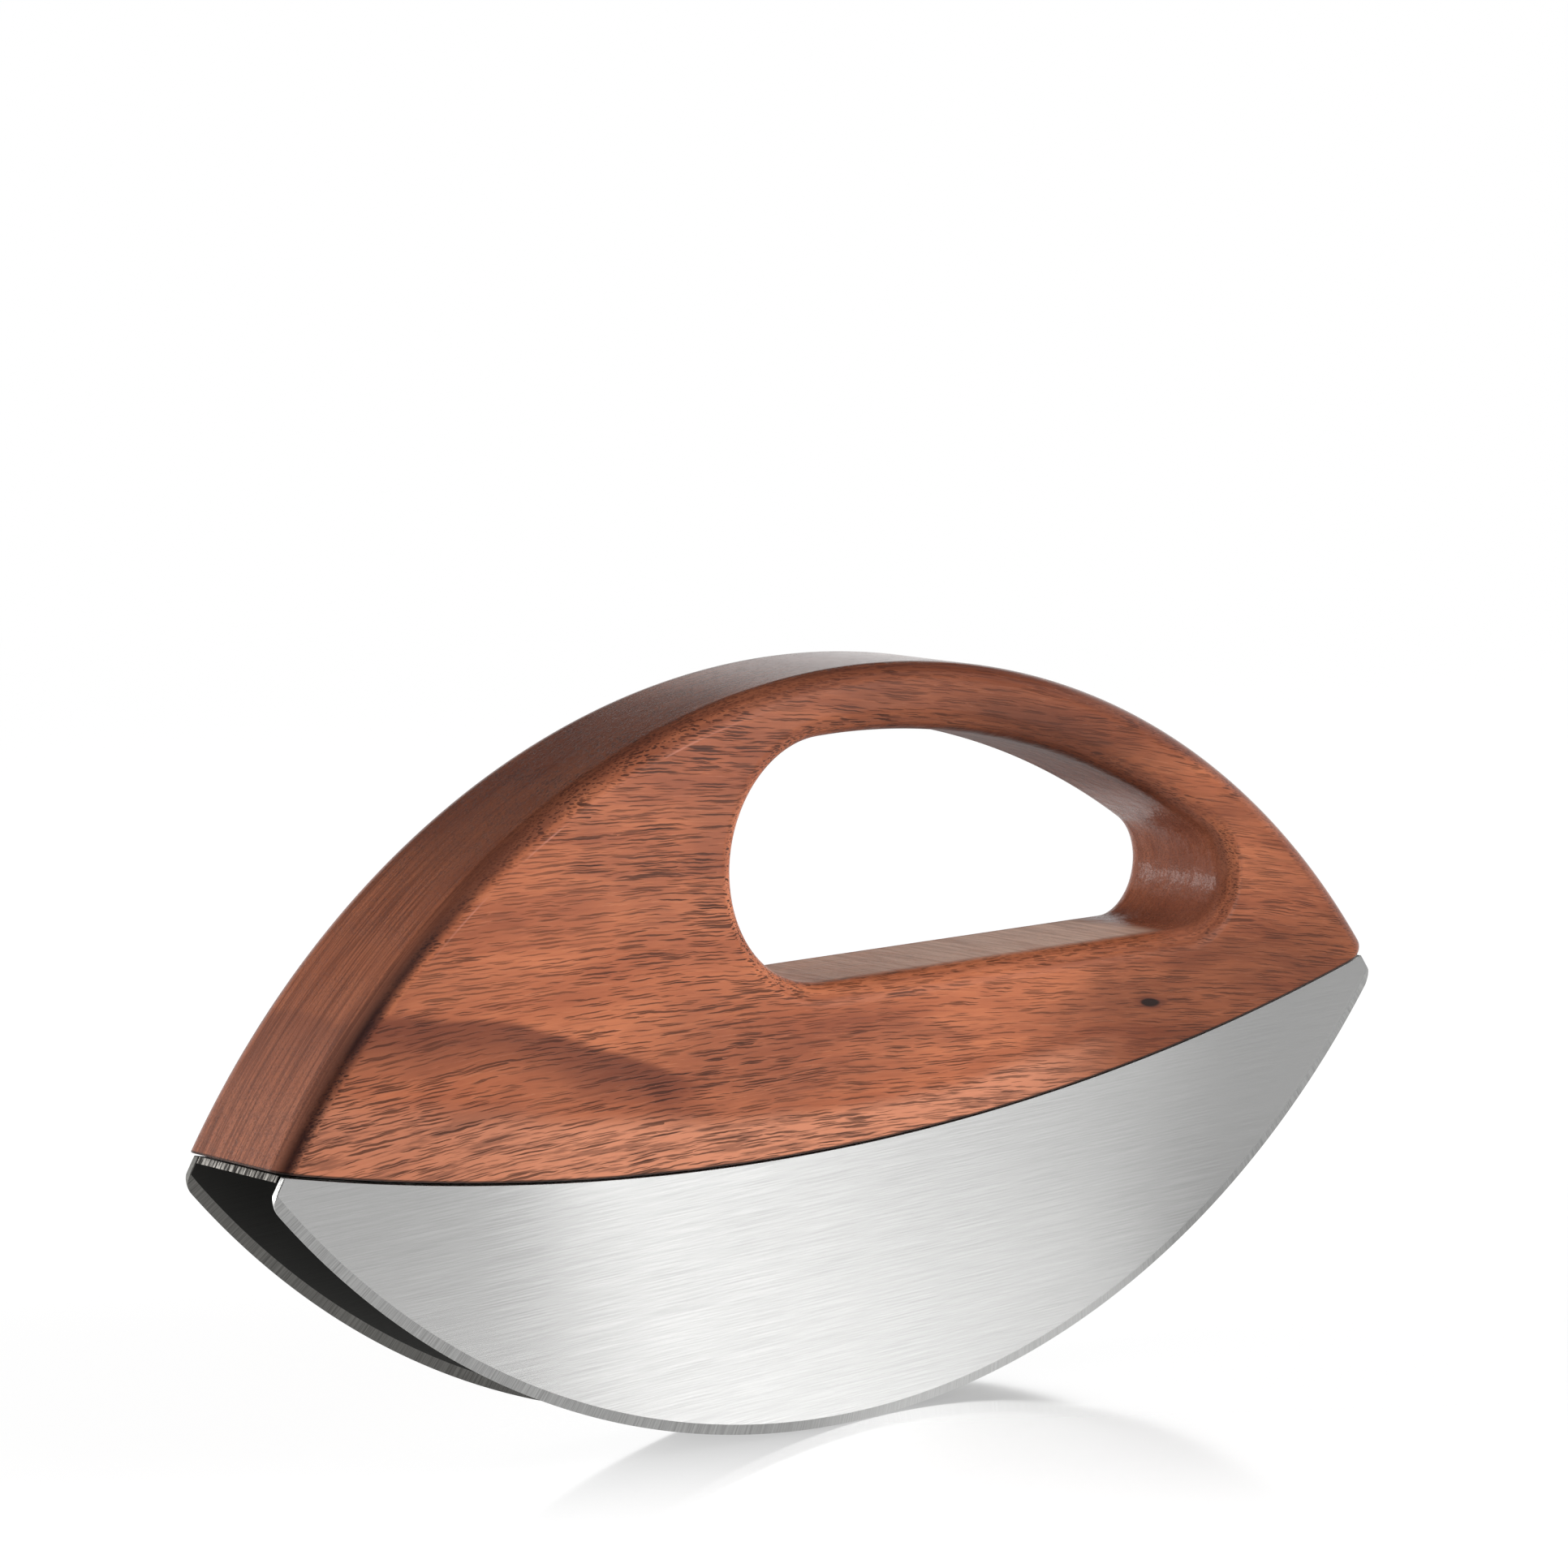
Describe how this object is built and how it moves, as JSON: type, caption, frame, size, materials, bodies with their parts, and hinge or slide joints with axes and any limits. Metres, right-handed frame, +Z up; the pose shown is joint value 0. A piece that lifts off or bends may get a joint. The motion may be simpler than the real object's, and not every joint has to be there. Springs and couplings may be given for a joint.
{
  "type": "double-bladed mincing knife",
  "caption": "Rocking mincing knife: two parallel crescent steel blades joined by a bridge plate under a lens-shaped wooden handle with an off-centre finger opening.",
  "frame": {"origin": "midway between the lowest points of the two cutting edges, on the surface they stand on", "axes": "+X along the knife towards the end with the narrower end of the finger opening, +Y across it towards the back blade, +Z up"},
  "size_m": [0.2034, 0.022, 0.1067],
  "materials": {
    "reddish_brown_wood": "oiled satin, straight grain along the knife",
    "brushed_blade_steel": "brushed along the blade, ground across at the edge",
    "plate_steel": "plain rolled sheet",
    "screw_steel": "plain turned steel"
  },
  "bodies": {
    "root": {"handle": "reddish_brown_wood", "front_blade": "brushed_blade_steel", "back_blade": "brushed_blade_steel", "bridge_plate": "plate_steel", "handle_screw_1": "screw_steel", "handle_screw_2": "screw_steel", "handle_screw_3": "screw_steel", "handle_screw_4": "screw_steel"}
  },
  "joints": []
}
